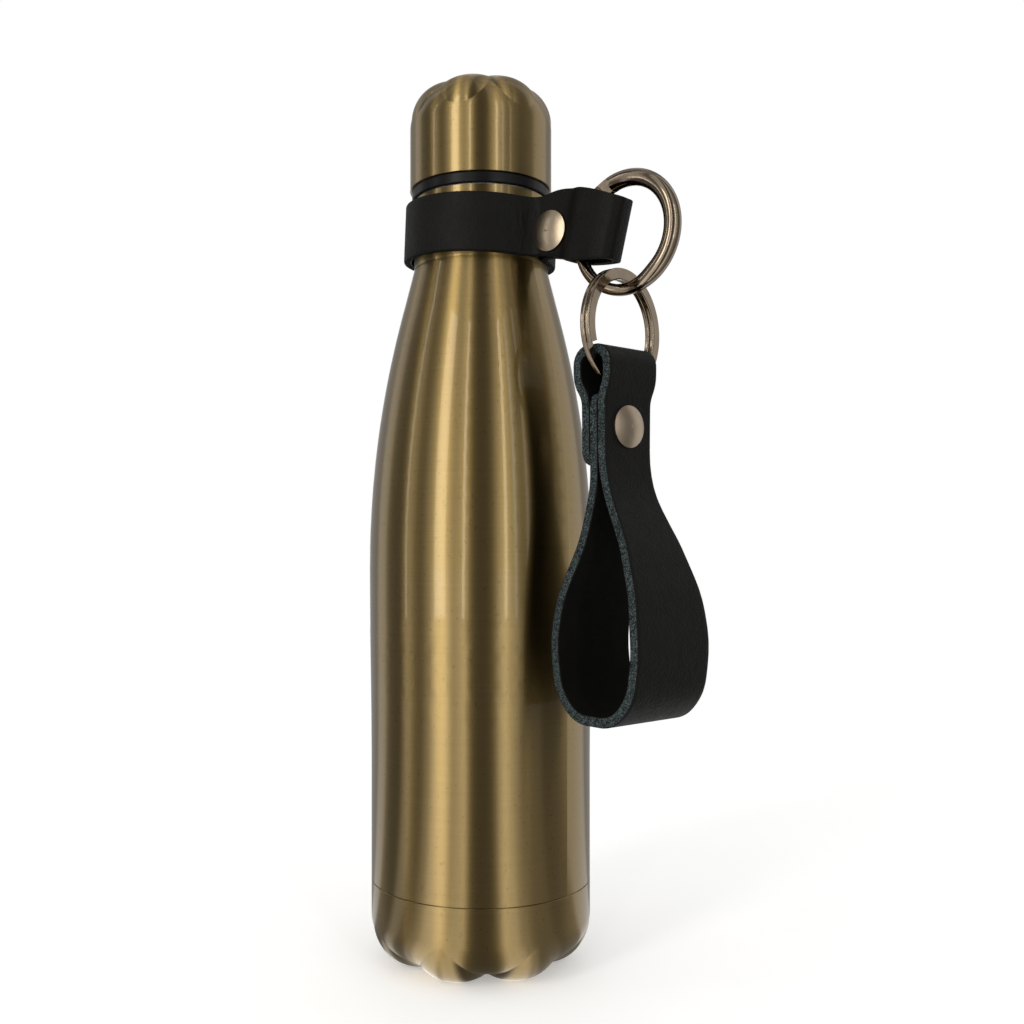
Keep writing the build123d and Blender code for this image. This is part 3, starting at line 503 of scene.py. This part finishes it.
def collar_line():
    lean = math.radians(LEAVE_ANGLE)

    def on_neck(angle):
        return (COLLAR_CENTRE_X + COLLAR_MID_R * math.cos(angle), COLLAR_MID_R * math.sin(angle))

    leave = on_neck(lean)
    corner_x = leave[0] + (leave[1] - LAYER_Y) * math.tan(lean)
    turns = 60
    round_neck = [on_neck(lean + step * (2 * math.pi - 2 * lean) / turns) for step in range(1, turns)]
    fold_x = TAB_END_X - LEATHER_T / 2
    back_end = [(BACK_END_X, LAYER_Y), (corner_x, LAYER_Y), leave]
    tab = [
        (leave[0], -leave[1]), (corner_x, -LAYER_Y),
        (FRONT_OPENS_X, -LAYER_Y), (FRONT_OPEN_X, -POCKET_Y),
        (fold_x - FOLD_RUN, -POCKET_Y), (fold_x, -FOLD_Y),
        (fold_x, FOLD_Y), (fold_x - FOLD_RUN, POCKET_Y),
        (INNER_LEAVES_X, POCKET_Y), (INNER_MEETS_X, 0.0), (INNER_END_X, 0.0),
    ]
    return evenly(rounded(back_end + round_neck + tab, FOLD_CORNER_R), COLLAR_STEP)


def collar_half_width(point):
    """Half the strap's width: even round the neck, with a swell along the tab."""
    if point.x < INNER_END_X:
        return COLLAR_W / 2
    along = min((point.x - INNER_END_X) / (TAB_END_X - INNER_END_X), 1.0)
    return COLLAR_W / 2 + TAB_SWELL * math.sin(math.pi * along ** 0.9) ** 1.3


def place_on_collar(point, across_strap):
    """Point of the collar from the plan and the height across it, pressed, sloped and drooped."""
    x, y = point
    z = COLLAR_MID_Z + across_strap
    if y < 0:
        gap = math.hypot(x - TAB_RIVET_X, z - TAB_RIVET_Z)
        pressed = 1 - smooth_share(gap, PRESS_R, PRESS_END_R)
        y += PRESS_DEPTH * pressed * smooth_share(-y, *FRONT_LAYER)
    share = smooth_share(x, DROOP_FROM_X, DROOP_FULL_X)
    droop = math.radians(COLLAR_TILT + (DROOP - COLLAR_TILT) * share)
    along, up = x - DROOP_X, z - DROOP_Z
    x = DROOP_X + along * math.cos(droop) + up * math.sin(droop)
    z = DROOP_Z - along * math.sin(droop) + up * math.cos(droop)
    return Vector((x, y, z)) * MM


def make_collar():
    return strap("collar_leather", collar_line(), across=18, half_width=collar_half_width,
                 place_point=place_on_collar, corner_r=2.0, thickness=LEATHER_T * MM,
                 bevel=0.35 * MM, edge=RUBBED_EDGE, flip=False)


collar = make_collar()
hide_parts("collar_strap")
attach(collar, "collar")

# %% [markdown]
# ## The wrist loop
# The wrist loop is the same kind of strap, a little thicker and cut wider at the bottom, where it rests on
# the wrist. It hangs in the split ring by a small eye. Its drop shape comes from the leather's own spring:
# the two sides leave the rivet side by side, bow out and meet in a round bottom.

# %% Wrist strap
LOOP_T = 2.9
LOOP_WAIST_Z, LOOP_BOTTOM_Z, LOOP_TOP_Z = 143.5, 78.3, 181.2
LOOP_TOP_W, LOOP_WAIST_W, LOOP_BOTTOM_W, LOOP_WIDE_SHARE = 19.0, 18.0, 28.5, 0.66
LOOP_BOW_W = 31.3
# Along each side: share of the bow's half width, and share of the way down
SIDE_SHAPE = [(0.54, 0.27), (0.92, 0.48), (1.05, 0.70), (0.93, 0.89), (0.48, 1.0)]
LOOP_SHIFT, LOOP_LEAN_X, LOOP_CREST_X = -1.4, -0.5, 4.3
LOOP_EYE_X, LOOP_EYE_W = -1.0, 8.2
LOOP_RIVET_Z, LOOP_FLAP_Z, LOOP_INNER_END_Z = 159.0, 148.5, 168.3
RIVET_CAP_R, LAYER_GAP = 5.8, 0.1
LOOP_CORNER_R, LOOP_STEP = 36.0, 1.0
HANG_X, HANG_TURN = 52.4, -8.0


def loop_line():
    half = (LOOP_BOW_W - LOOP_T) / 2
    drop = LOOP_WAIST_Z - LOOP_BOTTOM_Z - LOOP_T / 2
    side = [(across * half, LOOP_WAIST_Z - down * drop) for across, down in SIDE_SHAPE]
    back = [(LOOP_CREST_X - across, height) for across, height in side]
    front = [(LOOP_CREST_X + across, height) for across, height in reversed(side)]
    shoulder = LOOP_RIVET_Z + RIVET_CAP_R + 0.75 * LOOP_T
    eye_start = shoulder + 1.5 * LOOP_T
    eye_top = LOOP_TOP_Z - LOOP_T / 2
    eye = (LOOP_EYE_W + LOOP_T) / 2
    layer = LOOP_T + LAYER_GAP
    points = (
        [(LOOP_LEAN_X, LOOP_INNER_END_Z), (LOOP_LEAN_X, LOOP_WAIST_Z)] + back + front
        + [(LOOP_LEAN_X + layer, LOOP_WAIST_Z), (LOOP_LEAN_X + layer, shoulder),
           (LOOP_EYE_X + eye, eye_start), (LOOP_EYE_X + eye, eye_top),
           (LOOP_EYE_X - eye, eye_top), (LOOP_EYE_X - eye, eye_start),
           (LOOP_LEAN_X - layer, shoulder), (LOOP_LEAN_X - layer, LOOP_FLAP_Z)]
    )
    return evenly(rounded(points, LOOP_CORNER_R), LOOP_STEP)


def loop_half_width(point):
    """Half the strap's width: narrow at the waist, wider at the bottom and a little at the eye."""
    height = point.y
    if height > LOOP_WAIST_Z:
        up = (height - LOOP_WAIST_Z) / (LOOP_TOP_Z - LOOP_WAIST_Z)
        return (LOOP_WAIST_W + (LOOP_TOP_W - LOOP_WAIST_W) * up * up) / 2
    down = (LOOP_WAIST_Z - height) / (LOOP_WAIST_Z - LOOP_BOTTOM_Z)
    widening = smooth_share(down, 0.0, LOOP_WIDE_SHARE)
    return (LOOP_WAIST_W + (LOOP_BOTTOM_W - LOOP_WAIST_W) * widening) / 2


def place_on_loop(point, across_strap):
    """Point of the loop from its side outline and the place across it, turned to where it hangs."""
    turned = Matrix.Rotation(math.radians(HANG_TURN), 3, "Z") @ Vector(
        (point.x, LOOP_SHIFT + across_strap, point.y))
    return (turned + Vector((HANG_X, 0, 0))) * MM


def make_wrist_loop():
    return strap("wrist_leather", loop_line(), across=22, half_width=loop_half_width,
                 place_point=place_on_loop, corner_r=3.5, thickness=LOOP_T * MM,
                 bevel=0.3 * MM, edge=RAW_EDGE, flip=True)


wrist = make_wrist_loop()
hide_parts("wrist_strap")
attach(wrist, "wrist")

# %% [markdown]
# ## Surroundings, floor and lamps
# A polished metal body shows its surroundings, so the light is made for its reflections. Tall narrow soft
# boxes stand in a ring round the camera's side: each one becomes an upright streak on the bottle. A
# photographer stands black cards between them, which give the deep bands that make metal read as metal. Real
# cards would stand in the way of other views, so the surroundings themselves are dark in those directions,
# and only in reflections. Everywhere else the world is white. The floor fades into that white some way from
# the bottle, so no horizon shows, and near the bottle it takes its shadow.
# In reflections the floor shows painted card shade and painted reflections of the soft boxes.

# %% Black cards
CAMERA_TURN = 42.0
CARD_BLUR = 4
# Turn to the right of the camera's direction and half width, both in degrees, and how dark
CARDS = [(-98, 13, 0.8), (-65, 6, 0.7), (1, 13, 0.8), (50, 10, 0.5), (77, 16, 0.72),
         (-152, 22, 0.6), (152, 22, 0.6)]
# Painted reflections of the soft boxes on the floor, as a shiny floor would show them, with a negative
# darkness
PAINTED_BOX_REFLECTIONS = [(-40, 9, -1.4), (-18, 6, -0.8), (24, 6, -0.9)]


def card_light(nodes, direction, cards):
    """Brightness of the surroundings in a direction: 1, and less where a black card stands."""
    level = nodes.vector("NORMALIZE", nodes.vector("MULTIPLY", direction, (1, 1, 0)))
    light = 1.0
    for turn, half_width, dark in cards:
        angle = math.radians(CAMERA_TURN - 90 + turn)
        facing = nodes.vector("DOT_PRODUCT", level, (math.cos(angle), math.sin(angle), 0), output="Value")
        outside = math.cos(math.radians(half_width + CARD_BLUR))
        inside = math.cos(math.radians(half_width - CARD_BLUR))
        light = nodes.steps(facing, outside, inside, 1.0, 1.0 - dark) * light
    return light


# %% Floor
FLOOR_SIZE = 12
SHADOW_R, WHITE_R = 0.12, 0.6
NEAR_GLOW, FAR_GLOW = (0.32, 0.32, 0.32, 1), (1, 1, 1, 1)


def pale_floor():
    finish = Finish("pale_floor", Roughness=0.9, Specular_IOR_Level=0.0, Emission_Strength=1.0)
    grain = finish.noise(finish.place(), 40.0, 2.0)
    far = finish.steps(finish.vector("LENGTH", finish.place(), output="Value"), SHADOW_R, WHITE_R)
    near_tone = finish.blend(grain, colour(248, 248, 248), colour(252, 252, 252))
    finish.feed(
        Base_Color=finish.blend(far, near_tone, (0, 0, 0, 1)),
        Emission_Color=finish.blend(far, NEAR_GLOW, FAR_GLOW),
    )
    # Painted light on the floor, seen by glossy rays only: the cards' bands are painted shade and the soft
    # boxes are painted reflections
    painted_reflection_level = card_light(finish, finish.place(), CARDS + PAINTED_BOX_REFLECTIONS)
    shine = finish.add("ShaderNodeEmission", None, {"Strength": painted_reflection_level})
    glossy = finish.add("ShaderNodeLightPath", output="Is Glossy Ray")
    surface = Value(finish, finish.surface.outputs[0])
    both = finish.add("ShaderNodeMixShader", None, {0: glossy, 1: surface, 2: shine})
    finish.put(finish.tree.nodes["Material Output"].inputs["Surface"], both)
    return finish.material


bpy.ops.mesh.primitive_plane_add(size=FLOOR_SIZE, location=(0, 0, 0))
floor = bpy.context.object
floor.name = "floor"
floor.data.materials.append(pale_floor())

# %% World
WORLD_LIGHT = 0.62


def make_world():
    world = bpy.data.worlds.new("studio")
    bpy.context.scene.world = world
    world.use_nodes = True
    sky = Nodes(world.node_tree)
    rays = [sky.add("ShaderNodeLightPath", output=ray) for ray in
            ("Is Glossy Ray", "Is Camera Ray", "Is Transmission Ray")]
    shine = card_light(sky, sky.add("ShaderNodeTexCoord", output="Generated"), CARDS)
    strength = sky.between(rays[0], WORLD_LIGHT, shine)
    strength = sky.between(rays[1].larger(rays[2]), strength, 1.0)
    background = sky.tree.nodes["Background"]
    background.inputs["Color"].default_value = (1, 1, 1, 1)
    sky.put(background.inputs["Strength"], strength)


make_world()

# %% Soft boxes
AIM_Z = 0.23
BOX_DISTANCE, BOX_Z = 1.3, 0.35
WARM, PALE_WARM, COOL, PLAIN = (1.0, 0.97, 0.9), (1.0, 0.97, 0.92), (0.8, 0.88, 1.0), (1.0, 1.0, 1.0)


def around(turn, distance, height):
    """Point at an angle to the right of the camera's own direction, seen from the bottle."""
    angle = math.radians(CAMERA_TURN - 90 + turn)
    return Vector((distance * math.cos(angle), distance * math.sin(angle), height))


def soft_box(name, turn, width, height, glow, tint):
    """Upright rectangular lamp that faces the bottle; glow is its brightness, where 1 is white."""
    lamp = bpy.data.lights.new(name, "AREA")
    lamp.shape = "RECTANGLE"
    lamp.size, lamp.size_y = width, height
    lamp.energy = glow * math.pi * width * height
    lamp.color = tint
    holder = bpy.data.objects.new(name, lamp)
    bpy.context.scene.collection.objects.link(holder)
    holder.location = around(turn, BOX_DISTANCE, BOX_Z)
    aim = Vector((0, 0, AIM_Z)) - holder.location
    holder.rotation_euler = aim.to_track_quat("-Z", "Y").to_euler()


soft_box("left_edge_box", -80, 0.06, 1.6, 3.2, WARM)
soft_box("key_box", -41, 0.27, 1.6, 5.4, WARM)
soft_box("fill_box", -17, 0.06, 1.6, 6.0, PALE_WARM)
soft_box("right_box", 25, 0.07, 1.6, 6.0, PALE_WARM)
soft_box("cool_box", 35, 0.07, 1.6, 2.4, COOL)
soft_box("far_right_box", 48, 0.07, 1.6, 1.8, WARM)
soft_box("back_box", 180, 0.8, 1.2, 0.8, PLAIN)
print("soft boxes:", len(bpy.data.lights))

# %% [markdown]
# ## The camera
# The photographer stood close, so the rims bend a good deal in the picture, and held the camera level at
# half the bottle's height. The distance, height and lens come from fitting a camera to the bottle's outline
# and rims. A level camera keeps upright lines upright, and the lens shift moves the picture into its frame.

# %% Camera
IMAGE_PX, SENSOR_MM = 1024, 36.0
FOCAL_PX, AXIS_PX, HORIZON_PX = 1094.8, 480.74, 545.5
CAMERA_DISTANCE, CAMERA_Z = 0.3387, 0.1265
camera_data = bpy.data.cameras.new("camera")
camera_data.sensor_width = SENSOR_MM
camera_data.lens = FOCAL_PX / IMAGE_PX * SENSOR_MM
camera_data.shift_x = (IMAGE_PX / 2 - AXIS_PX) / IMAGE_PX
camera_data.shift_y = (HORIZON_PX - IMAGE_PX / 2) / IMAGE_PX
camera = bpy.data.objects.new("camera", camera_data)
bpy.context.scene.collection.objects.link(camera)
camera.location = around(0, CAMERA_DISTANCE, CAMERA_Z)
camera.rotation_euler = (math.radians(90), 0, math.radians(CAMERA_TURN))
bpy.context.scene.camera = camera
bpy.context.scene.view_settings.view_transform = "Standard"
print("lens in mm:", round(camera_data.lens, 1))
